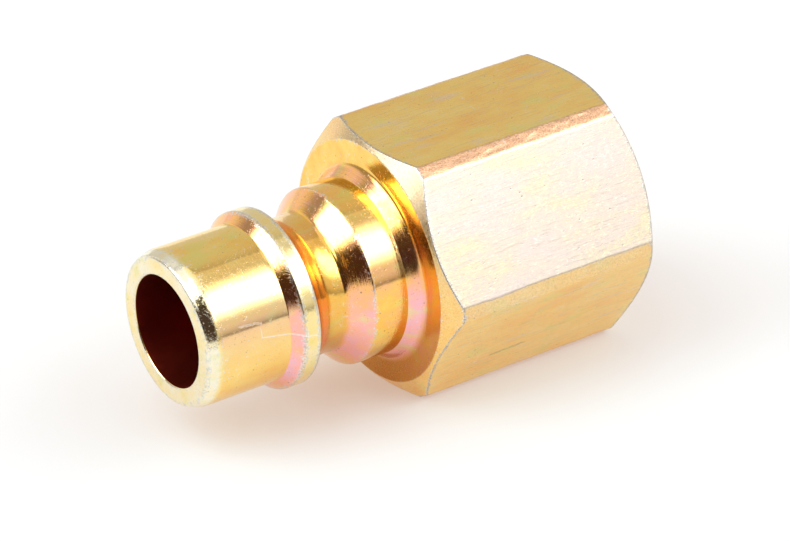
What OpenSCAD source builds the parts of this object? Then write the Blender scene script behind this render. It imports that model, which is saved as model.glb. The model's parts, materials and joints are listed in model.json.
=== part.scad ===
// Plug half of a quick disconnect coupler, with a shut-off valve inside.
// The plug's axis is X. The nose points to -X and the threaded port opens to +X.
// The origin is the centre of the port face, and the hex lies with two flats level.
// Lengths are in millimetres.

/* [Nose] */
// Distance from the port face to the tip of the nose
total_l = 51.3; // [51:0.1:52]
// Diameter of the sealing nose
nose_d = 16.8; // [16.6:0.1:17]
// Length of the nose from the tip to the lock ring's ramp
nose_l = 9.6; // [9.4:0.1:9.8]
// Diameter of the flow bore
bore_d = 12; // [11.8:0.1:12.2]
// Length of the lead-in taper at the tip
lead_l = 1.3; // [1:0.1:1.6]
// Depth of the lead-in taper on the radius
lead_depth = 0.5; // [0.3:0.1:0.7]

/* [Lock ring and ball groove] */
// Diameter of the lock ring and of the land behind the groove
ring_d = 19; // [18.8:0.1:19.2]
// Length of the lock ring's cylinder
ring_l = 1.8; // [1.6:0.1:2]
// Diameter at the bottom of the ball groove
groove_d = 14.8; // [14.6:0.1:15.2]
// Radius of the groove wall that the lock balls pull on
ball_r = 4; // [3.7:0.1:4.2]
// Length of the flat bottom of the groove
groove_floor_l = 1.1; // [0.8:0.1:1.3]
// Angle of the ramps, from the axis
ramp_angle = 45; // [43:1:50]

/* [Hex body] */
// Distance across the flats
hex_af = 27; // [26.8:0.1:27.2]
// Length of the hex
hex_l = 26.7; // [26.5:0.1:27]
// Diameter over the turned corners
corner_d = 30.5; // [30.2:0.1:30.8]
// Diameter of the flat end faces
face_d = 26.2; // [26:0.1:26.6]
// Length of each end chamfer at the corners
chamfer_l = 1.5; // [1.3:0.1:1.7]
// Diameter of the neck's foot, where its last ramp meets the hex
foot_d = 21; // [20.6:0.1:21.6]
// Length of that ramp
foot_l = 1.5; // [1.2:0.1:1.8]

/* [Port] */
// Minor diameter of the pipe thread, which is the bore of the port
port_d = 18.631; // [18.6:0.001:18.7]
// Depth of the countersink at the mouth
countersink_l = 1.3; // [1:0.1:1.4]

/* [Shut-off valve] */
// Opening travel of the poppet
valve_travel = 3.5; // [3:0.1:3.5]
// Distance from the plug's tip to the poppet's tip
poppet_recess = 8.5; // [8:0.5:10]
// Diameter of the poppet's front stem
front_stem_d = 5; // [4.5:0.1:5]
// Diameter of the poppet's rear stem
rear_stem_d = 3.8; // [3.6:0.1:3.8]
// Thickness of the seal ring's cord
seal_cord_d = 1.8; // [1.7:0.1:1.8]
// Thickness of the spring's wire
wire_d = 0.7; // [0.6:0.05:0.75]
// Mean diameter of the spring's coils
coil_d = 8.6; // [8.5:0.1:8.8]

/* [Hidden] */

ROUND = 128;      // facets of a full turn, which stand for a true round surface
ARC_STEPS = 10;   // steps along the rounded stretch of an outline
SLACK = 1;        // how far a cutter reaches past the face that it opens

// Outside radii.
nose_r = nose_d / 2;
ring_r = ring_d / 2;
groove_r = groove_d / 2;
foot_r = foot_d / 2;
face_r = face_d / 2;
corner_r = corner_d / 2;

// Outside stations along X, from the tip to the hex.
tip = -total_l;
nose_back = tip + nose_l;
ring_front = nose_back + (ring_r - nose_r) / tan(ramp_angle);
ring_back = ring_front + ring_l;
// The ball wall is an arc that ends level with the groove's floor.
ball_centre_r = groove_r + ball_r;
ball_rise = ball_centre_r - ring_r;
ball_span_angle = acos(ball_rise / ball_r);
floor_front = ring_back + ball_r * sin(ball_span_angle);
floor_back = floor_front + groove_floor_l;
land_front = floor_back + (ring_r - groove_r) / tan(ramp_angle);
hex_front = -hex_l;
land_back = hex_front - foot_l;

// Inside radii and stations, from the tip to the port.
bore_r = bore_d / 2;
tip_break = 0.15;
seat_front = -29.4;
chamber_r = 8.4;
seat_back = seat_front + chamber_r - bore_r;
guide_front = -17.2;
guide_l = 1.4;
guide_back = guide_front + guide_l;
pocket_r = 8.7;
clip_l = 1;
clip_slot_r = 9.2;
clip_slot_back = guide_back + clip_l + 0.1;
pocket_back = clip_slot_back + 0.7;
port_r = port_d / 2;
port_start = pocket_back + port_r - pocket_r;
countersink_r = port_r + countersink_l;

// Seal ring, clear of the seat cone by seal_gap.
seal_cord_r = seal_cord_d / 2;
seal_gap = 0.04;
seal_mean_r = 6.55;
seal_x = seat_front + seal_mean_r - bore_r + (seal_cord_r + seal_gap) * sqrt(2);
seal_slot_side = seal_cord_r + 0.08;
seal_slot_r = seal_mean_r - seal_cord_r - 0.02;

// Poppet.
front_stem_r = front_stem_d / 2;
rear_stem_r = rear_stem_d / 2;
stem_break = 0.5;
lip_r = 6.1;
lip_l = 0.5;
cone_r = 5.2;
lip_front = seal_x - seal_slot_side - lip_l;
cone_front = lip_front - (cone_r - front_stem_r);
flange_r = 7.2;
flange_front = seal_x + seal_slot_side;
flange_back = flange_front + 1.5;
boss_r = 3.3;
boss_back = flange_back + 1.4;
poppet_tip = tip + poppet_recess;
wing_count = 3;
wing_w = 1.2;
wing_r = bore_r - 0.15;
wing_front = poppet_tip + 2;
wing_back = lip_front - 1;

// Guide: a hub in a spring seat, three arms and a rim.
stem_clearance = 0.05;
hub_r = 3.3;
hub_front = boss_back + valve_travel + 0.1;
hub_back = guide_back + 0.5;
rear_stem_end = hub_back + 0.2;
spring_seat_r = 5.2;
window_r = 7.6;
guide_rim_r = pocket_r - 0.05;
arm_count = 3;
arm_w = 2.4;

// Retaining ring.
clip_outer_r = 9.15;
clip_inner_r = 7.9;
clip_gap_angle = 40;
lug_r = 1.4;
lug_hole_r = 0.65;
lug_centre_r = 7.4;

// Spring, with closed ends and open turns between them.
spring_turns = 4.5;
end_turns = 0.9;
turn_steps = 24;
wire_sides = 8;
spring_clearance = 0.02;
closed_pitch = wire_d * 1.03;
spring_front = flange_back + spring_clearance + wire_d / 2;
spring_back = guide_front - spring_clearance - wire_d / 2;
open_pitch = (spring_back - spring_front - 2 * end_turns * closed_pitch) / (spring_turns - 2 * end_turns);

// Turns an outline of [radius, station] points about X.
module turned(outline) {
    rotate([0, 90, 0])
        rotate_extrude($fn = ROUND)
            polygon(outline);
}

// Straight round bar along X from station a to station b.
module bar(r, a, b) {
    translate([a, 0, 0])
        rotate([0, 90, 0])
            cylinder(h = b - a, r = r, $fn = ROUND);
}

// Ball wall of the groove, from the lock ring down to the floor.
function ball_wall() = [
    for (i = [0:ARC_STEPS])
        let (a = ball_span_angle * (1 - i / ARC_STEPS))
            [ball_centre_r - ball_r * cos(a), floor_front - ball_r * sin(a)]
];

// Nose, lock ring, ball groove, land and foot, as one turned shape.
module neck() {
    turned(concat(
        [[0, tip], [nose_r - lead_depth, tip], [nose_r, tip + lead_l], [nose_r, nose_back], [ring_r, ring_front]],
        ball_wall(),
        [[groove_r, floor_back], [ring_r, land_front], [ring_r, land_back], [foot_r, hex_front],
         [foot_r, hex_front + SLACK], [0, hex_front + SLACK]]));
}

// Hex bar with turned corners and a chamfer at each end.
module hex() {
    intersection() {
        // A corner faces +Y and -Y, so that two flats lie level.
        translate([hex_front, 0, 0])
            rotate([90, 0, 90])
                cylinder(h = hex_l, r = hex_af / 2 / cos(30), $fn = 6);
        turned([[0, hex_front], [face_r, hex_front], [corner_r, hex_front + chamfer_l],
            [corner_r, -chamfer_l], [face_r, 0], [0, 0]]);
    }
}

// Flow passage: bore, valve seat, chamber, guide pocket, clip slot and port.
module passage() {
    turned([[0, tip - SLACK], [bore_r + tip_break + SLACK, tip - SLACK], [bore_r, tip + tip_break],
        [bore_r, seat_front], [chamber_r, seat_back], [chamber_r, guide_front], [pocket_r, guide_front],
        [pocket_r, guide_back], [clip_slot_r, guide_back], [clip_slot_r, clip_slot_back],
        [pocket_r, clip_slot_back], [pocket_r, pocket_back], [port_r, port_start],
        [port_r, -countersink_l], [countersink_r + SLACK, SLACK], [0, SLACK]]);
}

module plug_body() {
    color("goldenrod")
        difference() {
            union() {
                neck();
                hex();
            }
            passage();
        }
}

// Guide wings along the front stem, which slide in the flow bore.
module wings() {
    intersection() {
        for (i = [0:wing_count - 1])
            rotate([i * 360 / wing_count, 0, 0])
                translate([wing_front, -wing_w / 2, 0])
                    cube([wing_back - wing_front, wing_w, bore_r]);
        turned([[0, wing_front], [front_stem_r, wing_front], [wing_r, wing_front + wing_r - front_stem_r],
            [wing_r, wing_back], [0, wing_back]]);
    }
}

module valve_poppet() {
    color("darkkhaki")
        union() {
            turned([[0, poppet_tip], [front_stem_r - stem_break, poppet_tip],
                [front_stem_r, poppet_tip + stem_break], [front_stem_r, cone_front], [cone_r, lip_front],
                [lip_r, lip_front], [lip_r, lip_front + lip_l], [seal_slot_r, lip_front + lip_l],
                [seal_slot_r, flange_front], [flange_r, flange_front], [flange_r, flange_back],
                [boss_r, flange_back], [boss_r, boss_back], [rear_stem_r, boss_back],
                [rear_stem_r, rear_stem_end - stem_break], [rear_stem_r - stem_break, rear_stem_end],
                [0, rear_stem_end]]);
            wings();
        }
}

module poppet_seal() {
    color("black")
        translate([seal_x, 0, 0])
            rotate([0, 90, 0])
                rotate_extrude($fn = ROUND)
                    translate([seal_mean_r, 0])
                        circle(r = seal_cord_r, $fn = 32);
}

// Station of the wire's centre after t turns.
function coil_x(t) =
    t < end_turns ? spring_front + t * closed_pitch
    : t > spring_turns - end_turns ? spring_back - (spring_turns - t) * closed_pitch
    : spring_front + end_turns * closed_pitch + (t - end_turns) * open_pitch;

// Point at angle a round the wire after t turns.
function coil_point(t, a) =
    let (r = coil_d / 2 + wire_d / 2 * cos(a))
        [coil_x(t) + wire_d / 2 * sin(a), r * cos(360 * t), r * sin(360 * t)];

module valve_spring() {
    rings = ceil(spring_turns * turn_steps);
    points = [
        for (i = [0:rings], k = [0:wire_sides - 1])
            coil_point(spring_turns * i / rings, 360 * k / wire_sides)
    ];
    sides = [
        for (i = [0:rings - 1], k = [0:wire_sides - 1])
            let (a = i * wire_sides + k, b = i * wire_sides + (k + 1) % wire_sides)
                [a, b, b + wire_sides, a + wire_sides]
    ];
    ends = [
        [for (k = [wire_sides - 1:-1:0]) k],
        [for (k = [0:wire_sides - 1]) rings * wire_sides + k]
    ];
    color("silver")
        polyhedron(points, concat(sides, ends), convexity = 6);
}

module valve_guide() {
    color("darkkhaki")
        difference() {
            union() {
                bar(hub_r, hub_front, hub_back);
                bar(spring_seat_r, guide_front, guide_back);
                difference() {
                    bar(guide_rim_r, guide_front, guide_back);
                    bar(window_r, guide_front - SLACK, guide_back + SLACK);
                }
                for (i = [0:arm_count - 1])
                    rotate([i * 360 / arm_count, 0, 0])
                        translate([guide_front, -arm_w / 2, hub_r])
                            cube([guide_l, arm_w, window_r + 0.4 - hub_r]);
            }
            bar(rear_stem_r + stem_clearance, hub_front - SLACK, hub_back + SLACK);
        }
}

// One lug of the retaining ring, at one side of its gap.
module lug(side) {
    rotate([side * clip_gap_angle / 2, 0, 0])
        translate([guide_back, 0, lug_centre_r])
            rotate([0, 90, 0])
                children();
}

module retaining_ring() {
    gap_reach = clip_outer_r * 2;
    color("dimgray")
        difference() {
            union() {
                difference() {
                    bar(clip_outer_r, guide_back, guide_back + clip_l);
                    bar(clip_inner_r, guide_back - SLACK, guide_back + clip_l + SLACK);
                    // The gap at the top is a wedge between the two lugs.
                    translate([guide_back - SLACK, 0, 0])
                        rotate([90, 0, 90])
                            linear_extrude(height = clip_l + 2 * SLACK)
                                polygon([[0, 0],
                                    gap_reach * [-sin(clip_gap_angle / 2), cos(clip_gap_angle / 2)],
                                    gap_reach * [sin(clip_gap_angle / 2), cos(clip_gap_angle / 2)]]);
                }
                for (side = [-1, 1])
                    lug(side)
                        cylinder(h = clip_l, r = lug_r, $fn = 48);
            }
            for (side = [-1, 1])
                lug(side)
                    translate([0, 0, -SLACK])
                        cylinder(h = clip_l + 2 * SLACK, r = lug_hole_r, $fn = 32);
        }
}

plug_body();
valve_poppet();
poppet_seal();
valve_spring();
valve_guide();
retaining_ring();
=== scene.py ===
"""The plug half of a quick disconnect coupler on a pale floor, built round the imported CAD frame."""
import json
import math

import bpy
from mathutils import Matrix, Vector, noise


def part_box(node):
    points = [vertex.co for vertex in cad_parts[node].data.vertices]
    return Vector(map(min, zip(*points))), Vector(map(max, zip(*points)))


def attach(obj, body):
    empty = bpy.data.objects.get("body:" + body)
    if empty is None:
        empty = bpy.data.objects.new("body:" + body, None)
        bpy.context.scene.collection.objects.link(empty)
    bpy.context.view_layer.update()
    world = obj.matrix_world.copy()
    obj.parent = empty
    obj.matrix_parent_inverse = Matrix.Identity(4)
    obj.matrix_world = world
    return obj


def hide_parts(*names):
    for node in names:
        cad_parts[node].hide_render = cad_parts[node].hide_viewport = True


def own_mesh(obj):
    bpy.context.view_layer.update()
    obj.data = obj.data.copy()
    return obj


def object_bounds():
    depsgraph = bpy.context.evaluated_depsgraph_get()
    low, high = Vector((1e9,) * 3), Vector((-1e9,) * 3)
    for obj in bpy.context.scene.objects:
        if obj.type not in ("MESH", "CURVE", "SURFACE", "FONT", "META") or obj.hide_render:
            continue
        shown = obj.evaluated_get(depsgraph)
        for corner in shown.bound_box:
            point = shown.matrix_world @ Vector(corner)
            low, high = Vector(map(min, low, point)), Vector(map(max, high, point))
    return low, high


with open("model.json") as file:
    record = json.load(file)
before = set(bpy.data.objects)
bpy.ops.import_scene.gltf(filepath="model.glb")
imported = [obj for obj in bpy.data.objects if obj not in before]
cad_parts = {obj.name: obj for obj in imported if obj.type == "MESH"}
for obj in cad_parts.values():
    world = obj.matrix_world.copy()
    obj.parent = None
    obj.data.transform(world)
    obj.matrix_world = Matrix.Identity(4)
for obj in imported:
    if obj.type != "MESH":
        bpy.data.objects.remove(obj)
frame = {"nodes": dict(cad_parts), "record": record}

MM = 0.001
CAD_BOX = [list(corner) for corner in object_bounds()]
MOUNTS = {mount["name"]: mount for mount in frame["record"]["mounts"]}

# ---------------------------------------------------------------- sizes, in mm, in the row frame

BODY_LOW, BODY_HIGH = (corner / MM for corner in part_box("plug_body"))
CLIP_LOW, _ = (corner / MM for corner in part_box("retaining_ring"))
SEAL_LOW, SEAL_HIGH = (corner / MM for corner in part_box("poppet_seal"))
SPRING_LOW, SPRING_HIGH = (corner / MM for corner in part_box("valve_spring"))

TIP = BODY_LOW.x
HEX_HALF = BODY_HIGH.z
CORNER_R = BODY_HIGH.y
NOSE_R = MOUNTS["nose"]["dims"]["r_mm"]
PORT_R = MOUNTS["port_thread"]["dims"]["r_mm"]

# Neck, from the tip to the hex.
LEAD_L = 1.3
LEAD_DEPTH = 0.5
TIP_BREAK = 0.12
NOSE_L = 9.6
RING_R = 9.5
RING_L = 1.8
GROOVE_R = 7.4
BALL_R = 4.0
GROOVE_FLOOR_L = 1.1
RAMP_SLOPE = math.tan(math.radians(45))
FOOT_R = 10.5
FOOT_L = 1.5

# Hex.
HEX_L = 26.7
FACE_R = 13.1
CHAMFER_L = 1.5

# Inside, from the nose to the port.
BORE_R = 6.0
COUNTERSINK_L = 1.3
SEAT_FRONT = -29.4
CHAMBER_R = 8.4
POCKET_R = 8.7
GUIDE_RIM_L = 1.4
CLIP_SLOT_R = 9.2
CLIP_SLOT_L = 1.1
POCKET_LIP = 0.7
THREAD_PITCH = 1.814
THREAD_DEPTH = 1.16
THREAD_RUNOUT_START = 0.4

# Stations along the axis.
NOSE_BACK = TIP + NOSE_L
RING_FRONT = NOSE_BACK + (RING_R - NOSE_R) / RAMP_SLOPE
RING_BACK = RING_FRONT + RING_L
FLOOR_FRONT = RING_BACK + math.sqrt(BALL_R ** 2 - (GROOVE_R + BALL_R - RING_R) ** 2)
FLOOR_BACK = FLOOR_FRONT + GROOVE_FLOOR_L
LAND_FRONT = FLOOR_BACK + (RING_R - GROOVE_R) / RAMP_SLOPE
HEX_FRONT = -HEX_L
LAND_BACK = HEX_FRONT - FOOT_L
GUIDE_FRONT = CLIP_LOW.x - GUIDE_RIM_L
CLIP_SLOT_BACK = CLIP_LOW.x + CLIP_SLOT_L
POCKET_BACK = CLIP_SLOT_BACK + POCKET_LIP
PORT_START = POCKET_BACK + PORT_R - POCKET_R

# ---------------------------------------------------------------- mesh helpers


class Finish:
    """The plating on one stretch: film tone, grit, dark share, pale share and tool rings. The dark share is
    painted shade and painted dark reflection; the pale share is pale film, and in places a painted
    highlight.
    """

    def __init__(self, tone, grit=0.0, dark=0.0, pale=0.0, rings=0.45):
        self.values = (tone, grit, dark, pale, rings)


class Corner:
    """A corner of an outline: its rounding, its wear and how far that reaches, and the stretch after it.

    That stretch has one finish, and is cut into steps no longer than its own step.
    """

    def __init__(self, x, r, blend=0.0, wear=0.0, finish=None, step=0.5, reach=0.3):
        self.x = x
        self.r = r
        self.blend = blend
        self.step = step
        self.wear = wear
        self.reach = reach
        self.finish = finish.values


# Length of one step round a rounded corner.
ROUNDING_STEP = 0.11


def outline_plan(corners):
    """How many rows each edge of a closed outline takes, from the edge's length and its own step."""
    plan = []
    for here, after in zip(corners, corners[1:] + corners[:1]):
        length = math.hypot(after.x - here.x, after.r - here.r)
        plan.append(max(1, math.ceil(length / here.step)))
    return plan


def blend_values(a, b, share):
    """Finish values part of the way from a to b."""
    return tuple(x + (y - x) * share for x, y in zip(a, b))


def outline_rows(corners, plan):
    """Rows (x, r, finish values, distance along the outline) of a closed outline with rounded corners."""
    rows = []
    travelled = 0.0
    count = len(corners)
    for i, here in enumerate(corners):
        before, after = corners[i - 1], corners[(i + 1) % count]
        at = Vector((here.x, here.r))
        to_before = Vector((before.x, before.r)) - at
        to_after = Vector((after.x, after.r)) - at
        start = at + to_before.normalized() * min(here.blend, 0.45 * to_before.length)
        end = at + to_after.normalized() * min(here.blend, 0.45 * to_after.length)
        rounding = max(4, math.ceil(here.blend / ROUNDING_STEP)) if here.blend else 0
        for k in range(rounding + 1):
            t = k / max(rounding, 1)
            point = start * (1 - t) ** 2 + at * 2 * t * (1 - t) + end * t ** 2
            share = t if rounding else 1.0
            finish = here.finish if share == 1 else blend_values(before.finish, here.finish, share)
            rows.append((point.x, point.y, finish, travelled))
        edge_end = at + to_after - to_after.normalized() * min(after.blend, 0.45 * to_after.length)
        for k in range(1, plan[i]):
            point = end.lerp(edge_end, k / plan[i])
            rows.append((point.x, point.y, here.finish, travelled + to_after.length * k / plan[i]))
        travelled += to_after.length
    return rows


def corner_places(corners):
    """(distance along the outline, wear, reach) of each worn corner."""
    places = []
    travelled = 0.0
    for here, after in zip(corners, corners[1:] + corners[:1]):
        if here.wear:
            places.append((travelled, here.wear, here.reach))
        travelled += math.hypot(after.x - here.x, after.r - here.r)
    return places


def wear_at(distance, places):
    """Wear of a row, from the worn corners near it."""
    return max(worn * math.exp(-((distance - place) / reach) ** 2) for place, worn, reach in places)


def ring_mesh(name, columns, make_rows, attributes=()):
    """Mesh object turned round the axis. make_rows(angle) gives a closed outline of (x, r, values...)."""
    vertices, values = [], []
    for angle in columns:
        rows = make_rows(angle)
        cosine, sine = math.cos(angle), math.sin(angle)
        vertices += [(x * MM, -r * cosine * MM, r * sine * MM) for x, r, *rest in rows]
        values += [rest for x, r, *rest in rows]
    count, turns = len(vertices) // len(columns), len(columns)
    faces = []
    for i in range(turns):
        a, b = i * count, (i + 1) % turns * count
        for k in range(count):
            n = (k + 1) % count
            faces.append((a + k, a + n, b + n, b + k))
    mesh = bpy.data.meshes.new(name)
    mesh.from_pydata(vertices, [], faces)
    for k, label in enumerate(attributes):
        layer = mesh.attributes.new(label, "FLOAT", "POINT")
        layer.data.foreach_set("value", [value[k] for value in values])
    return finish_mesh(name, mesh)


def finish_mesh(name, mesh):
    """Smooth-shaded object of a mesh, in the scene."""
    mesh.validate()
    mesh.shade_smooth()
    piece = bpy.data.objects.new(name, mesh)
    bpy.context.scene.collection.objects.link(piece)
    return piece


def turn(count):
    """Evenly spaced angles of a full turn."""
    return [math.tau * i / count for i in range(count)]


# ---------------------------------------------------------------- plug body

SECTOR = math.radians(60)
FLAT_STEPS = 22
# The turned band at each hex corner: steps across it, half its width as an angle, how far its middle
# radius lies inside the corner, how uneven that is, over what depth it fades in, and its soft edge.
BAND_STEPS = 12
BAND_HALF = math.radians(3.4)
BAND_INSET = 0.09
BAND_UNEVEN = 0.05
BAND_FADE = 0.10
BAND_SOFT = 0.045
# How far from the hex's end faces and below its flats a row may lie and still follow the hex's side.
END_MARGIN = 0.02
SIDE_MARGIN = 0.35
BALL_WALL_STEPS = 16

# Finishes, with film tones from pale through gold and orange to pink and lilac.
FACE = Finish(0.10, 0.10)
LEAD = Finish(0.02, 0.05)
RING = Finish(0.22, 0.10)
PORT_FACE = Finish(0.45)
HEX = Finish(0.45, 0.15)
# The bore's dark share is whole: painted shade, dark red, for the shade deep inside the bore.
BORE = Finish(0.56, 0.3, dark=1.0)
THREAD = Finish(0.50, 0.1)


def near(angle, centre, width):
    """Bell-shaped share of a place round the axis, in degrees, from 0 far off to 1 at its centre."""
    off = (angle + math.pi - math.radians(centre)) % math.tau - math.pi
    return math.exp(-(off / math.radians(width)) ** 2)


def nose_film_and_painted_light(angle):
    """The nose's film, with a painted orange-brown band just above its lower side, where the highlight's
    lower edge falls, and a paler film over its front as a painted highlight, so that the highlight there
    reads white.
    """
    return Finish(0.44 + 0.15 * near(angle, 15, 14), pale=0.38 * near(angle, 25, 38))


def groove_film_and_painted_shade(angle):
    """The groove's film, with painted shade: a little golden brown all through the groove and more
    underneath.
    """
    return Finish(0.56, dark=0.15 + 0.30 * near(angle, -55, 40))


def land_film_and_painted_light(angle):
    """The land's film, with a paler film high on its front as a painted highlight, a painted orange-brown
    band below that at the highlight's lower edge, and painted shade underneath.
    """
    tone = 0.53 + 0.14 * near(angle, 17, 10)
    return Finish(tone, pale=0.30 * near(angle, 42, 20), dark=0.22 * near(angle, -55, 30))


def ramp_finish(angle):
    """The film on the ramps, pink where they face the front and the floor, and copper above and behind."""
    return Finish(0.66 + 0.17 * near(angle, -25, 42), rings=1.3)


def foot_film_and_painted_reflection(angle):
    """The film on the last ramp, at the neck's foot, with a painted dark reflection as a brown patch on its
    front.
    """
    return Finish(0.66 + 0.17 * near(angle, -25, 42), dark=0.45 * near(angle, 32, 12), rings=1.3)


def hex_face_film_and_painted_shade(angle):
    """The film on the hex's front face, with painted shade browner at the bottom and a painted dark
    reflection as one brown patch on its front.
    """
    brown = max(0.74 * near(angle, -75, 62), 0.72 * near(angle, 37, 17))
    return Finish(0.50 + 0.10 * near(angle, -20, 60), dark=brown)


def chamfer_finish(angle):
    """The chamfers' gritty film, with a pinkish beige high on the front."""
    high_front = near(angle, 70, 45)
    return Finish(0.50, 0.35 + 0.50 * high_front, pale=0.60 * high_front)


# Share of a pale, pinkish film on the six flats, from the front one upwards and round. On the front flat it
# is partly pale film and partly a painted highlight for the bright reflection that flat catches.
FLAT_PALE = (1.0, 0.0, 0.45, 0.15, 0.0, 0.12)
# Share of gritty copper on the six corner bands, from the front one upwards and round.
BAND_COPPER = (0.30, 1.0, 0.8, 0.7, 0.8, 0.6)
BAND_PALE = 0.25


def hex_columns():
    """Angles round the axis, closer together at the hex corners. A flat's middle faces up."""
    columns = []
    for sector in range(6):
        middle = sector * SECTOR + math.radians(30)
        flat_half = SECTOR / 2 - BAND_HALF
        for k in range(FLAT_STEPS):
            columns.append(middle - flat_half * math.cos(math.pi * k / FLAT_STEPS))
        for k in range(BAND_STEPS):
            columns.append(middle + flat_half + 2 * BAND_HALF * k / BAND_STEPS)
    return columns


def soft_min(a, b, blend):
    """The smaller of two lengths, with a rounded change between them."""
    h = min(max(0.5 + 0.5 * (b - a) / blend, 0.0), 1.0)
    return b + (a - b) * h - blend * h * (1 - h)


def hex_side(angle, x):
    """(radius, share of the turned corner band) of the hex at an angle and a station."""
    from_middle = (angle - math.radians(30) + SECTOR / 2) % SECTOR - SECTOR / 2
    flat = HEX_HALF / math.cos(from_middle)
    side = 1 if from_middle > 0 else -1
    place = Vector((x, math.cos(angle) * CORNER_R, math.sin(angle) * CORNER_R))
    uneven = BAND_UNEVEN * noise.noise(place * 0.35)
    uneven += BAND_UNEVEN * noise.noise(place * 2.1 + Vector((7, side, 0)))
    turned = CORNER_R - BAND_INSET + uneven
    band = min(max((flat - turned) / BAND_FADE + 0.5, 0.0), 1.0)
    return soft_min(flat, min(turned, CORNER_R), BAND_SOFT), band


def ball_wall(angle):
    """Corners down the groove's round wall, from the lock ring to the groove's floor."""
    centre_r = GROOVE_R + BALL_R
    span = math.acos((centre_r - RING_R) / BALL_R)
    wall = []
    for k in range(1, BALL_WALL_STEPS + 1):
        along_arc = span * (1 - k / BALL_WALL_STEPS)
        x = FLOOR_FRONT - BALL_R * math.sin(along_arc)
        r = centre_r - BALL_R * math.cos(along_arc)
        wall.append(Corner(x, r, finish=groove_film_and_painted_shade(angle)))
    return wall


def chamfer_reach(radius):
    """How far an end chamfer reaches along the hex where the hex has that radius."""
    return CHAMFER_L * (radius - FACE_R) / (CORNER_R - FACE_R)


def body_corners(angle):
    """Closed outline of the plug's body at an angle: outside from the tip to the port, then back inside."""
    front, _ = hex_side(angle, HEX_FRONT + CHAMFER_L)
    back, _ = hex_side(angle, -CHAMFER_L)
    hex_start = HEX_FRONT + chamfer_reach(front)
    hex_end = -chamfer_reach(back)
    ramp = ramp_finish(angle)
    foot = foot_film_and_painted_reflection(angle)
    hex_face = hex_face_film_and_painted_shade(angle)
    chamfer = chamfer_finish(angle)
    land = land_film_and_painted_light(angle)
    groove = groove_film_and_painted_shade(angle)
    nose = nose_film_and_painted_light(angle)
    return [
        Corner(TIP, BORE_R + TIP_BREAK, 0.08, wear=0.45, finish=FACE, reach=0.16),
        Corner(TIP, NOSE_R - LEAD_DEPTH, 0.30, wear=0.50, finish=LEAD, step=0.2, reach=0.16),
        Corner(TIP + LEAD_L, NOSE_R, 0.35, wear=0.28, finish=nose, reach=0.6),
        Corner(NOSE_BACK, NOSE_R, 0.10, finish=ramp, step=0.2),
        Corner(RING_FRONT, RING_R, 0.14, wear=0.7, finish=RING, step=0.25, reach=0.3),
        Corner(RING_BACK, RING_R, 0.25, wear=0.75, finish=groove, step=0.2, reach=0.3),
        *ball_wall(angle),
        Corner(FLOOR_BACK, GROOVE_R, 0.40, finish=ramp, step=0.3),
        Corner(LAND_FRONT, RING_R, 0.14, wear=0.4, finish=land, step=0.3, reach=0.2),
        Corner(LAND_BACK, RING_R, 0.03, finish=foot, step=0.2),
        Corner(HEX_FRONT, FOOT_R, 0.50, finish=hex_face, step=0.3),
        Corner(HEX_FRONT, FACE_R, 0.08, wear=0.25, finish=chamfer, step=0.2, reach=0.15),
        Corner(hex_start, front, 0.07, wear=0.8, finish=HEX, step=0.4, reach=0.12),
        Corner(hex_end, back, 0.07, wear=0.8, finish=chamfer, step=0.2, reach=0.12),
        Corner(0, FACE_R, 0.08, wear=0.5, finish=PORT_FACE, step=0.5, reach=0.15),
        Corner(0, PORT_R + COUNTERSINK_L, 0.08, wear=0.5, finish=THREAD, step=0.12, reach=0.2),
        Corner(-COUNTERSINK_L, PORT_R, finish=THREAD, step=0.105),
        Corner(PORT_START, PORT_R, finish=THREAD, step=0.2),
        Corner(POCKET_BACK, POCKET_R, finish=BORE),
        Corner(CLIP_SLOT_BACK, POCKET_R, finish=BORE),
        Corner(CLIP_SLOT_BACK, CLIP_SLOT_R, finish=BORE),
        Corner(CLIP_LOW.x, CLIP_SLOT_R, finish=BORE),
        Corner(CLIP_LOW.x, POCKET_R, finish=BORE),
        Corner(GUIDE_FRONT, POCKET_R, finish=BORE),
        Corner(GUIDE_FRONT, CHAMBER_R, 0.05, finish=BORE, step=1.0),
        Corner(SEAT_FRONT + CHAMBER_R - BORE_R, CHAMBER_R, 0.2, finish=BORE),
        Corner(SEAT_FRONT, BORE_R, 0.15, finish=BORE, step=1.0),
        Corner(TIP + TIP_BREAK, BORE_R, 0.06, finish=FACE, step=0.1),
    ]


def thread_radius(x, angle):
    """Radius of the port's wall where the thread has cut it."""
    phase = (x / THREAD_PITCH + angle / math.tau) % 1.0
    ridge = 1 - abs(2 * phase - 1)
    cut = min(max((ridge - 1 / 6) * 1.5, 0.0), 1.0)
    # Mostly straight sides, with a little of a smooth step to round the crests and roots.
    cut = cut * 0.7 + 0.3 * cut * cut * (3 - 2 * cut)
    runout = min(max((x - PORT_START - THREAD_RUNOUT_START) / THREAD_PITCH, 0.0), 1.0)
    return PORT_R + THREAD_DEPTH * cut * runout


# Every angle has the same rows, and wears at the places of the outline at angle 0.
BODY_REFERENCE = body_corners(0.0)
BODY_PLAN = outline_plan(BODY_REFERENCE)
BODY_PLACES = corner_places(BODY_REFERENCE)
BODY_DISTANCES = [row[3] for row in outline_rows(BODY_REFERENCE, BODY_PLAN)]


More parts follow.
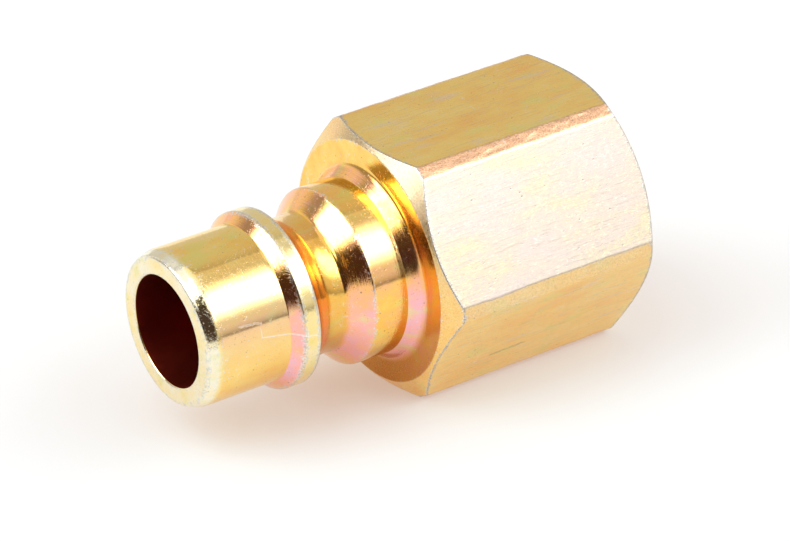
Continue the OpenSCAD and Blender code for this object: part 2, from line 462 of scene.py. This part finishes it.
def body_rows(angle):
    """Rows of the body at an angle: x, r, the finish's values, wear, copper and drawn."""
    rows = []
    sector = int(angle % math.tau / SECTOR)
    nearest_band = BAND_COPPER[round(angle / SECTOR) % 6]
    outline = outline_rows(body_corners(angle), BODY_PLAN)
    for (x, r, finish, _), distance in zip(outline, BODY_DISTANCES):
        copper = drawn = 0.0
        if HEX_FRONT + END_MARGIN < x < -END_MARGIN and r > HEX_HALF - SIDE_MARGIN:
            side, band = hex_side(angle, x)
            chamfered = min(x - HEX_FRONT, -x) < chamfer_reach(side) - END_MARGIN
            if not chamfered:
                on_side = finish == HEX.values
                r = side if on_side else min(r, side)
                copper, drawn = band * nearest_band, 1.0
        if PORT_START < x < 0 and r < PORT_R + COUNTERSINK_L:
            r = max(r, thread_radius(x, angle))
        tone, grit, dark, pale, rings = finish
        if drawn:
            pale = FLAT_PALE[sector] * (1 - band) + BAND_PALE * band
        wear = wear_at(distance, BODY_PLACES)
        rows.append((x, r, tone, grit, dark, pale, rings, wear, copper, drawn))
    return rows


BODY_LAYERS = ("tone", "grit", "dark", "pale", "rings", "wear", "copper", "drawn")


def make_body():
    """The plug's body, with worn edges, uneven turned bands at the hex corners and a cut thread."""
    piece = ring_mesh("plug_body_shell", hex_columns(), body_rows, BODY_LAYERS)
    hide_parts("plug_body")
    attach(piece, "coupler_body")
    piece.data.materials.append(plated_steel())


# ---------------------------------------------------------------- node helpers


class Graph:
    """Short calls that add nodes to a material's or a world's tree."""

    def __init__(self, tree):
        self.tree = tree
        tree.nodes.clear()

    def node(self, kind, inputs=None, **settings):
        """A new node, with its settings and inputs."""
        made = self.tree.nodes.new(kind)
        for key, value in settings.items():
            setattr(made, key, value)
        for key, value in (inputs or {}).items():
            self.set(made.inputs[key], value)
        return made

    def set(self, socket, value):
        """Link a socket to another, or give it a value."""
        if isinstance(value, bpy.types.NodeSocket):
            self.tree.links.new(value, socket)
        elif value is not None:
            socket.default_value = value

    def math(self, operation, a, b=None, c=None):
        """Result of one sum on numbers."""
        made = self.node("ShaderNodeMath", operation=operation)
        for socket, value in zip(made.inputs, (a, b, c)):
            self.set(socket, value)
        return made.outputs[0]

    def vary(self, base, noise, amount):
        """A number with centred noise added."""
        return self.math("MULTIPLY_ADD", self.math("SUBTRACT", noise, 0.5), amount, base)

    def step(self, value, low, high, to_low=0.0, to_high=1.0):
        """Smooth step of value from low to high."""
        made = self.node("ShaderNodeMapRange", interpolation_type="SMOOTHSTEP")
        for socket, v in zip(made.inputs, (value, low, high, to_low, to_high)):
            self.set(socket, v)
        return made.outputs[0]

    def mix(self, factor, a, b):
        """Colour part of the way from a to b."""
        made = self.node("ShaderNodeMix", data_type="RGBA")
        self.set(made.inputs[0], factor)
        self.set(made.inputs[6], a)
        self.set(made.inputs[7], b)
        return made.outputs[2]

    def noise(self, vector, scale, detail=2.0, roughness=0.5, distortion=0.0):
        """Noise from 0 to 1."""
        inputs = {"Vector": vector, "Scale": scale, "Detail": detail, "Roughness": roughness,
                  "Distortion": distortion}
        return self.node("ShaderNodeTexNoise", inputs).outputs[0]

    def stretch(self, vector, scale):
        """A vector multiplied along each axis."""
        return self.node("ShaderNodeVectorMath", {0: vector, 1: scale}, operation="MULTIPLY").outputs[0]

    def attribute(self, name):
        """One of the mesh's layers of numbers."""
        return self.node("ShaderNodeAttribute", attribute_name=name).outputs["Fac"]

    def ramp(self, value, stops):
        """Colour from a list of (place, colour) stops."""
        made = self.node("ShaderNodeValToRGB", {0: value})
        elements = made.color_ramp.elements
        while len(elements) > 1:
            elements.remove(elements[-1])
        elements[0].position, elements[0].color = stops[0][0], (*stops[0][1], 1)
        for place, colour in stops[1:]:
            elements.new(place).color = (*colour, 1)
        return made.outputs[0]

    def bump(self, height, distance, strength=1.0):
        """Normal of a surface with that relief."""
        inputs = {"Height": height, "Distance": distance, "Strength": strength}
        return self.node("ShaderNodeBump", inputs).outputs[0]


def new_material(name):
    """A new material and its empty node tree."""
    material = bpy.data.materials.new(name)
    material.use_nodes = True
    return material, Graph(material.node_tree)


def surface(graph, inputs):
    """Principled shader joined to the material's output."""
    shader = graph.node("ShaderNodeBsdfPrincipled", inputs)
    graph.node("ShaderNodeOutputMaterial", {"Surface": shader.outputs[0]})


# ---------------------------------------------------------------- materials

# Colours of the plating's film, from straw through gold and orange to pink and violet, of its pale kind, of
# its gritty kinds, and of the bare metal.
FILM = [
    (0.00, (0.93, 0.87, 0.68)),
    (0.20, (0.97, 0.78, 0.36)),
    (0.42, (1.00, 0.68, 0.17)),
    (0.56, (1.00, 0.57, 0.12)),
    (0.66, (1.00, 0.51, 0.20)),
    (0.84, (0.98, 0.48, 0.46)),
    (1.00, (0.82, 0.52, 0.68)),
]
PALE_FILM = [
    (0.34, (0.740, 0.650, 0.605)),
    (0.50, (0.750, 0.660, 0.560)),
    (0.66, (0.765, 0.690, 0.500)),
]
BEIGE_GRIT = [
    (0.36, (0.52, 0.38, 0.26)),
    (0.50, (0.90, 0.68, 0.44)),
    (0.64, (0.96, 0.84, 0.62)),
]
COPPER_GRIT = [
    (0.34, (0.38, 0.24, 0.20)),
    (0.44, (0.64, 0.34, 0.19)),
    (0.60, (0.80, 0.52, 0.34)),
]
BARE_STEEL = [
    (0.30, (0.26, 0.26, 0.27)),
    (0.46, (0.60, 0.60, 0.58)),
    (0.64, (0.88, 0.87, 0.82)),
]
# Drifts and marks on the plating, and painted shade. The golden brown is painted shade and painted dark
# reflection, laid where a finish has a dark share, and the red is painted shade inside the bore, where that
# share is whole.
LILAC = (0.78, 0.62, 0.52, 1)
GREEN_GOLD = (0.80, 0.74, 0.20, 1)
DULL_STREAK = (0.52, 0.44, 0.36, 1)
PALE_SCRATCH = (0.95, 0.92, 0.88, 1)
DULL_SCUFF = (0.30, 0.24, 0.10, 1)
DARK_PIT = (0.20, 0.17, 0.18, 1)
PAINTED_SHADE_BROWN = (0.42, 0.13, 0.004, 1)
BORE_PAINTED_SHADE_RED = (0.34, 0.040, 0.020, 1)


def scratch(g, along, across, start, end, centre, slant, sway, width):
    """Mask of one thin scratch that runs from start to end near a centre line, slanting and swaying."""
    drift = g.noise(g.node("ShaderNodeCombineXYZ", {0: along, 1: centre}).outputs[0], 1.7, 3.0, 0.6)
    line = g.math("MULTIPLY_ADD", g.math("SUBTRACT", along, start), slant, centre)
    line = g.vary(line, drift, sway)
    off = g.math("ABSOLUTE", g.math("SUBTRACT", across, line))
    inside = g.math("MULTIPLY", g.step(along, start - 0.05, start), g.step(along, end + 0.05, end))
    return g.math("MULTIPLY", g.step(off, width, 0.4 * width), inside)


class PlatingFields:
    """Places in mm, noises and mesh layers that the plating's colour, roughness and relief share."""

    def __init__(self, g):
        self.place = g.stretch(g.node("ShaderNodeTexCoord").outputs["Object"], (1 / MM,) * 3)
        self.x, y, z = g.node("ShaderNodeSeparateXYZ", {0: self.place}).outputs
        self.radius = g.math("SQRT", g.math("ADD", g.math("POWER", y, 2.0), g.math("POWER", z, 2.0)))
        angle = g.math("ARCTAN2", z, g.math("MULTIPLY", y, -1.0))
        self.degrees = g.math("MULTIPLY", angle, 180 / math.pi)
        turned_place = g.node("ShaderNodeCombineXYZ", {
            0: g.math("MULTIPLY", g.math("MULTIPLY_ADD", self.radius, 1.37, self.x), 7.0),
            1: g.math("MULTIPLY", g.math("DIVIDE", y, self.radius), 1.6),
            2: g.math("MULTIPLY", g.math("DIVIDE", z, self.radius), 1.6),
        }).outputs[0]

        self.clouds = g.noise(g.stretch(self.place, (0.10, 0.24, 0.24)), 1.0, 2.0, 0.55)
        self.patches = g.noise(g.stretch(self.place, (0.30, 0.75, 0.75)), 1.0, 3.0, 0.6)
        self.mottle = g.noise(self.place, 2.2, 3.0, 0.6)
        self.fine = g.noise(self.place, 6.5, 3.0, 0.62)
        self.grain = g.noise(self.place, 15.0, 2.0, 0.6)
        self.turned_marks = g.noise(turned_place, 1.0, 3.0, 0.6)
        self.drawn_marks = g.noise(g.stretch(self.place, (0.35, 5.0, 5.0)), 1.0, 3.0, 0.62)

        self.tone = g.attribute("tone")
        self.grit = g.attribute("grit")
        self.dark = g.attribute("dark")
        self.pale = g.attribute("pale")
        self.rings = g.attribute("rings")
        self.wear = g.attribute("wear")
        self.copper = g.attribute("copper")
        self.drawn = g.attribute("drawn")


def film_colour(g, f):
    """The plating's film, with its drifts of colour, its pale kind, and its streaks and grit."""
    tone = g.vary(f.tone, f.clouds, 0.40)
    tone = g.vary(tone, f.patches, 0.30)
    tone = g.vary(tone, f.mottle, 0.10)
    film = g.ramp(tone, FILM)
    lilac = g.step(g.noise(g.stretch(f.place, (0.16, 0.9, 0.9)), 1.0, 3.0, 0.6), 0.56, 0.72)
    lilac = g.math("MULTIPLY", lilac, g.math("MULTIPLY_ADD", f.drawn, 0.28, 0.14))
    film = g.mix(lilac, film, LILAC)
    green = g.step(g.noise(g.stretch(f.place, (0.20, 0.32, 0.32)), 1.3, 2.0, 0.5), 0.54, 0.70)
    film = g.mix(g.math("MULTIPLY", green, 0.48), film, GREEN_GOLD)
    pale_tone = g.vary(f.clouds, f.mottle, 0.45)
    pale_tone = g.vary(pale_tone, f.patches, 0.35)
    film = g.mix(f.pale, film, g.ramp(pale_tone, PALE_FILM))

    # Fine dull streaks along the drawn flats.
    streaks = g.math("MULTIPLY", g.step(f.drawn_marks, 0.54, 0.70), g.math("MULTIPLY", f.drawn, 0.30))
    film = g.mix(streaks, film, DULL_STREAK)

    # Gritty beige on the chamfers, and gritty copper on the turned bands at the hex corners.
    film = g.mix(g.math("MULTIPLY", f.grit, 0.60), film, g.ramp(f.fine, BEIGE_GRIT))
    return g.mix(g.math("MULTIPLY", f.copper, 0.95), film, g.ramp(f.fine, COPPER_GRIT))


def rubbed_share(g, f):
    """Share of bare metal where the edges are rubbed, broken up along them."""
    broken = g.vary(f.wear, f.mottle, 1.7)
    broken = g.vary(broken, f.fine, 1.9)
    return g.step(broken, 0.28, 0.72)


def hairline_share(g, f):
    """Share of pale hairline scratches, in a few places."""
    hair = g.math("ABSOLUTE", g.math("SUBTRACT", g.noise(f.place, 0.9, 2.0, 0.5, 0.6), 0.5))
    hair = g.math("MULTIPLY", g.step(hair, 0.008, 0.003), g.step(g.noise(f.place, 0.33, 1.0), 0.60, 0.64))
    return g.math("MULTIPLY", hair, 0.4)


def scratch_share(g, f):
    """Share of three longer scratches on the nose, one of which crosses the ring."""
    long_scratch = scratch(g, f.x, f.degrees, -45.1, -39.2, 7.6, -1.3, 1.5, 0.75)
    cross_scratch = scratch(g, f.degrees, f.x, 6.5, 15.0, -45.1, 0.0, 0.12, 0.09)
    squiggle = scratch(g, f.x, f.degrees, -47.5, -44.9, 20.6, -0.9, 7.0, 1.0)
    share = g.math("MAXIMUM", g.math("MAXIMUM", long_scratch, cross_scratch), squiggle)
    share = g.math("MULTIPLY", share, g.step(f.radius, 8.2, 8.3))
    share = g.math("MULTIPLY", share, g.step(f.fine, 0.34, 0.46))
    return g.math("MULTIPLY", share, 0.5)


def scuff_share(g, f):
    """Share of a dull scuff on the lower front flat."""
    share = scratch(g, f.x, f.degrees, -18.8, -14.4, -41.2, 0.15, 3.0, 0.9)
    share = g.math("MULTIPLY", g.math("MULTIPLY", share, f.drawn), g.step(f.fine, 0.40, 0.56))
    return g.math("MULTIPLY", share, 0.6)


def pit_share(g, f):
    """Share of pits and of smaller dark specks."""
    pits = g.node("ShaderNodeTexVoronoi", {"Vector": f.place, "Scale": 1.15}).outputs["Distance"]
    pits = g.math("MULTIPLY", g.step(pits, 0.13, 0.05), g.step(g.noise(f.place, 0.6, 1.0), 0.50, 0.58))
    specks = g.node("ShaderNodeTexVoronoi", {"Vector": f.place, "Scale": 2.7}).outputs["Distance"]
    specks = g.math("MULTIPLY", g.step(specks, 0.17, 0.08), g.step(g.noise(f.place, 0.9, 2.0), 0.44, 0.54))
    return g.math("MAXIMUM", pits, g.math("MULTIPLY", specks, 0.6))


def plated_steel():
    """Yellow zinc plating: an iridescent film on turned and drawn steel, rubbed pale at the edges."""
    material, g = new_material("plated_steel_yellow")
    f = PlatingFields(g)
    rubbed = rubbed_share(g, f)
    scratches = scratch_share(g, f)
    pits = pit_share(g, f)

    bare = g.ramp(g.math("MULTIPLY_ADD", f.drawn, -0.14, f.fine), BARE_STEEL)
    colour = g.mix(g.math("MULTIPLY", rubbed, 0.75), film_colour(g, f), bare)
    colour = g.mix(g.math("MAXIMUM", hairline_share(g, f), scratches), colour, PALE_SCRATCH)
    colour = g.mix(scuff_share(g, f), colour, DULL_SCUFF)
    colour = g.mix(g.math("MULTIPLY", pits, 0.55), colour, DARK_PIT)
    # Painted shade and painted dark reflections: golden brown by the dark share, and dark red inside the
    # bore.
    colour = g.mix(f.dark, colour, PAINTED_SHADE_BROWN)
    colour = g.mix(g.step(f.dark, 0.75, 1.0), colour, BORE_PAINTED_SHADE_RED)

    rough = g.step(f.mottle, 0.3, 0.7, 0.09, 0.14)
    rough = g.math("MULTIPLY_ADD", f.drawn, 0.05, rough)
    rough = g.math("MULTIPLY_ADD", f.grit, 0.26, rough)
    rough = g.math("MULTIPLY_ADD", f.copper, 0.16, rough)
    rough = g.math("MULTIPLY_ADD", g.math("MAXIMUM", rubbed, scratches), 0.08, rough)
    rough = g.math("MULTIPLY_ADD", f.dark, 0.20, rough)

    turned_share = g.math("MULTIPLY", g.math("SUBTRACT", 1.0, f.drawn), g.math("MULTIPLY", f.rings, 2.0))
    gritty = g.math("MAXIMUM", f.grit, f.copper)
    height = g.math("MULTIPLY", f.turned_marks, turned_share)
    height = g.math("MULTIPLY_ADD", g.math("MULTIPLY", f.drawn_marks, f.drawn), 0.30, height)
    height = g.math("MULTIPLY_ADD", g.math("MULTIPLY", f.fine, gritty), 2.2, height)
    height = g.math("MULTIPLY_ADD", g.math("MULTIPLY", f.grain, rubbed), 1.4, height)
    height = g.math("MULTIPLY_ADD", g.math("MAXIMUM", pits, scratches), -2.0, height)
    normal = g.bump(height, 0.006 * MM, 1.0)
    surface(g, {"Base Color": colour, "Metallic": 1.0, "Roughness": rough, "Normal": normal})
    return material


def brass():
    """Turned brass with fine ring marks and a faint tarnish."""
    material, g = new_material("valve_brass_turned")
    place = g.node("ShaderNodeTexCoord").outputs["Object"]
    split = g.node("ShaderNodeSeparateXYZ", {0: place}).outputs
    radius = g.math("SQRT", g.math("ADD", g.math("POWER", split[1], 2.0), g.math("POWER", split[2], 2.0)))
    rings = g.node("ShaderNodeCombineXYZ", {0: split[0], 1: radius, 2: 0.0}).outputs[0]
    tarnish = g.noise(place, 500, 3.0, 0.6)
    marks = g.noise(rings, 8000, 3.0, 0.6)
    colour = g.ramp(tarnish, [(0.35, (0.56, 0.40, 0.17)), (0.65, (0.80, 0.62, 0.30))])
    rough = g.step(tarnish, 0.3, 0.7, 0.34, 0.2)
    normal = g.bump(marks, 0.000008, 0.8)
    surface(g, {"Base Color": colour, "Metallic": 1.0, "Roughness": rough, "Normal": normal})
    return material


def spring_steel(name, dark, light, rough_low, rough_high):
    """Spring steel, bright or phosphated, cloudy between a dark and a light colour."""
    material, g = new_material(name)
    place = g.node("ShaderNodeTexCoord").outputs["Object"]
    cloud = g.noise(place, 1100, 4.0, 0.6)
    grain = g.noise(place, 9000, 3.0, 0.6)
    colour = g.ramp(cloud, [(0.3, dark), (0.7, light)])
    rough = g.step(cloud, 0.3, 0.7, rough_high, rough_low)
    normal = g.bump(grain, 0.000006, 0.7)
    surface(g, {"Base Color": colour, "Metallic": 1.0, "Roughness": rough, "Normal": normal})
    return material


def seal_rubber():
    """Black nitrile rubber with a fine grain and a little bloom."""
    material, g = new_material("seal_nitrile_rubber")
    place = g.node("ShaderNodeTexCoord").outputs["Object"]
    bloom = g.noise(place, 900, 3.0, 0.6)
    grain = g.noise(place, 12000, 3.0, 0.6)
    colour = g.ramp(bloom, [(0.35, (0.012, 0.012, 0.013)), (0.75, (0.05, 0.05, 0.048))])
    rough = g.step(bloom, 0.3, 0.7, 0.42, 0.6)
    normal = g.bump(grain, 0.000010, 0.8)
    surface(g, {"Base Color": colour, "Roughness": rough, "Normal": normal})
    return material


# ---------------------------------------------------------------- valve pieces

SPRING_TURNS = 4.5
SPRING_END_TURNS = 0.9
WIRE_R = 0.35
COIL_R = 4.3
# Gap between the wires of the closed end turns, as a share of the wire.
END_GAP = 0.03
SPRING_STEPS_PER_TURN = 48
WIRE_SIDES = 16

SEAL_COLUMNS = 160
SEAL_SIDES = 32
FLASH = 0.012


def make_spring():
    """The valve spring, with closed end turns, built at one length: the poppet's travel does not squeeze it
    here.
    """
    front, back = SPRING_LOW.x + WIRE_R, SPRING_HIGH.x - WIRE_R
    closed = 2 * WIRE_R * (1 + END_GAP)
    open_pitch = (back - front - 2 * SPRING_END_TURNS * closed) / (SPRING_TURNS - 2 * SPRING_END_TURNS)

    def station(turns):
        """Place along the axis after some turns: closed at both ends and open between."""
        if turns < SPRING_END_TURNS:
            return front + turns * closed
        if turns > SPRING_TURNS - SPRING_END_TURNS:
            return back - (SPRING_TURNS - turns) * closed
        return front + SPRING_END_TURNS * closed + (turns - SPRING_END_TURNS) * open_pitch

    steps = round(SPRING_TURNS * SPRING_STEPS_PER_TURN)
    vertices, faces = [], []
    for i in range(steps + 1):
        turns = SPRING_TURNS * i / steps
        around = math.tau * turns
        for k in range(WIRE_SIDES):
            side = math.tau * k / WIRE_SIDES
            r = COIL_R + WIRE_R * math.cos(side)
            x = station(turns) + WIRE_R * math.sin(side)
            vertices.append((x * MM, r * math.cos(around) * MM, r * math.sin(around) * MM))
    for i in range(steps):
        for k in range(WIRE_SIDES):
            a, b = i * WIRE_SIDES + k, i * WIRE_SIDES + (k + 1) % WIRE_SIDES
            faces.append((a, b, b + WIRE_SIDES, a + WIRE_SIDES))
    faces.append(tuple(reversed(range(WIRE_SIDES))))
    faces.append(tuple(range(steps * WIRE_SIDES, (steps + 1) * WIRE_SIDES)))
    mesh = bpy.data.meshes.new("valve_spring_wire")
    mesh.from_pydata(vertices, [], faces)
    piece = finish_mesh("valve_spring_wire", mesh)
    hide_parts("valve_spring")
    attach(piece, "coupler_body")
    piece.data.materials.append(
        spring_steel("spring_wire", (0.42, 0.42, 0.41), (0.66, 0.66, 0.64), 0.2, 0.36))
    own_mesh(piece)


def make_seal():
    """The poppet's O-ring, with the faint flash line of its mould."""
    cord_r = (SEAL_HIGH.x - SEAL_LOW.x) / 2
    mean_r = SEAL_HIGH.z - cord_r
    centre = (SEAL_HIGH.x + SEAL_LOW.x) / 2

    def rows(angle):
        """The cord's section, the same at every angle, with the flash line outside and inside."""
        made = []
        for k in range(SEAL_SIDES):
            side = math.tau * k / SEAL_SIDES
            reach = cord_r - FLASH if k % (SEAL_SIDES // 2) else cord_r
            made.append((centre + reach * math.sin(side), mean_r + reach * math.cos(side)))
        return made

    piece = ring_mesh("poppet_o_ring", turn(SEAL_COLUMNS), rows)
    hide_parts("poppet_seal")
    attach(piece, "valve")
    piece.data.materials.append(seal_rubber())


def dress_cad_node(node, material, bevel):
    """A CAD node that stays: small rounded edges and a finish."""
    piece = frame["nodes"][node]
    piece.data.materials.clear()
    piece.data.materials.append(material)
    edge = piece.modifiers.new("edge_break", "BEVEL")
    edge.width = bevel * MM
    edge.segments = 2
    edge.limit_method = "ANGLE"
    edge.angle_limit = math.radians(35)
    edge.harden_normals = False


# ---------------------------------------------------------------- studio


def make_floor():
    """Plain pale floor under the hex's lowest flat, softly lit from below like a light table."""
    mesh = bpy.data.meshes.new("studio_floor")
    half, z = 3.0, BODY_LOW.z * MM
    corners = [(-half, -half, z), (half, -half, z), (half, half, z), (-half, half, z)]
    mesh.from_pydata(corners, [], [(0, 1, 2, 3)])
    floor = finish_mesh("studio_floor", mesh)
    material, g = new_material("studio_floor_white")
    surface(g, {"Base Color": (0.290, 0.400, 0.450, 1), "Roughness": 0.9, "Specular IOR Level": 0.1,
                "Emission Color": (1.0, 0.695, 0.566, 1), "Emission Strength": 0.537})
    mesh.materials.append(material)


def make_world():
    """Studio light all round: softboxes right and left, pale walls, and a dark corner on the left."""
    world = bpy.data.worlds.new("studio")
    world.use_nodes = True
    bpy.context.scene.world = world
    g = Graph(world.node_tree)
    way = g.node("ShaderNodeTexCoord").outputs["Generated"]
    split = g.node("ShaderNodeSeparateXYZ", {0: way}).outputs
    azimuth = g.math("ARCTAN2", split[0], g.math("MULTIPLY", split[1], -1.0))
    azimuth = g.math("MULTIPLY", azimuth, 180 / math.pi)
    elevation = g.math("MULTIPLY", g.math("ARCSINE", split[2]), 180 / math.pi)

    def box(az_low, az_high, el_low, el_high, level, az_soft=5.0, el_soft_low=5.0, el_soft_high=5.0):
        """Light over a stretch of azimuth and elevation, in degrees, that fades past each side."""
        sides = [
            g.step(azimuth, az_low - az_soft, az_low),
            g.step(azimuth, az_high + az_soft, az_high),
            g.step(elevation, el_low - el_soft_low, el_low),
            g.step(elevation, el_high + el_soft_high, el_high),
        ]
        product = sides[0]
        for side in sides[1:]:
            product = g.math("MULTIPLY", product, side)
        return g.math("MULTIPLY", product, level)

    parts = [
        box(18, 70, 41, 48, 4.1, 16, 23, 14),       # key softbox, right of the camera
        box(6, 104, 12, 62, 0.45, 6, 14, 8),        # pale wall round it, in two layers
        box(6, 104, 5, 56, 0.38, 6, 8, 10),
        box(-126, -90, 28, 62, 6.0, 14, 6, 8),      # side softbox, on the left
        box(-75, -40, 50, 78, 4.0, 8, 8, 6),        # fill, high on the left of the camera
        box(-4, 12, 46, 66, 1.5, 8, 8, 6),          # fill, over the camera
        box(-170, -112, -6, 56, 0.30, 12, 6, 12),   # dim wall, left
        box(112, 200, -90, 56, 0.62, 12, 1, 14),    # pale backdrop, which runs past 180 degrees
        box(-200, -168, -90, 56, 0.62, 20, 1, 14),
        box(-200, 200, 68, 91, 1.1, 5, 6, 1),       # ceiling
        box(-90, 6, -90, -6, 0.9, 5, 1, 3),         # pale floor, past the end of the real one
    ]
    light = 0.06
    for part in parts:
        light = g.math("ADD", part, light)
    # The camera sees plain white, and the dark corner is warm.
    seen = g.node("ShaderNodeLightPath").outputs["Is Camera Ray"]
    unseen = g.math("SUBTRACT", 1.0, seen)
    strength = g.math("ADD", g.math("MULTIPLY", light, unseen), seen)
    dim = g.math("MULTIPLY", g.step(light, 0.28, 0.08), unseen)
    colour = g.mix(dim, (1.0, 0.985, 0.965, 1), (1.0, 0.58, 0.40, 1))
    back = g.node("ShaderNodeBackground", {"Color": colour, "Strength": strength})
    g.node("ShaderNodeOutputWorld", {"Surface": back.outputs[0]})
    world.cycles.sampling_method = "MANUAL"
    world.cycles.sample_map_resolution = 1024


def make_camera():
    """Camera with a long lens, left of square-on and above, aimed a little in front of the axis."""
    azimuth = math.radians(-33.83)
    elevation = math.radians(29.66)
    roll = math.radians(-1.08)
    distance = 503.9 * MM
    centre = (Vector(CAD_BOX[0]) + Vector(CAD_BOX[1])) / 2
    aim = Vector((centre.x + 0.06 * MM, centre.y - 3.27 * MM, 0))
    level = math.cos(elevation)
    back = Vector((math.sin(azimuth) * level, -math.cos(azimuth) * level, math.sin(elevation)))
    data = bpy.data.cameras.new("camera")
    data.lens = 223.45
    data.sensor_width = 36
    data.clip_start = 0.01
    data.clip_end = 20
    camera = bpy.data.objects.new("camera", data)
    turned = (-back).to_track_quat("-Z", "Y").to_matrix() @ Matrix.Rotation(roll, 3, "Z")
    camera.matrix_world = Matrix.Translation(aim + back * distance) @ turned.to_4x4()
    bpy.context.scene.collection.objects.link(camera)
    bpy.context.scene.camera = camera


make_body()
make_spring()
make_seal()
turned_brass = brass()
dress_cad_node("valve_poppet", turned_brass, 0.12)
dress_cad_node("valve_guide", turned_brass, 0.08)
phosphate = spring_steel("clip_phosphate", (0.05, 0.048, 0.045), (0.16, 0.15, 0.14), 0.3, 0.5)
dress_cad_node("retaining_ring", phosphate, 0.06)
make_floor()
make_world()
make_camera()
bpy.context.scene.view_settings.view_transform = "Standard"
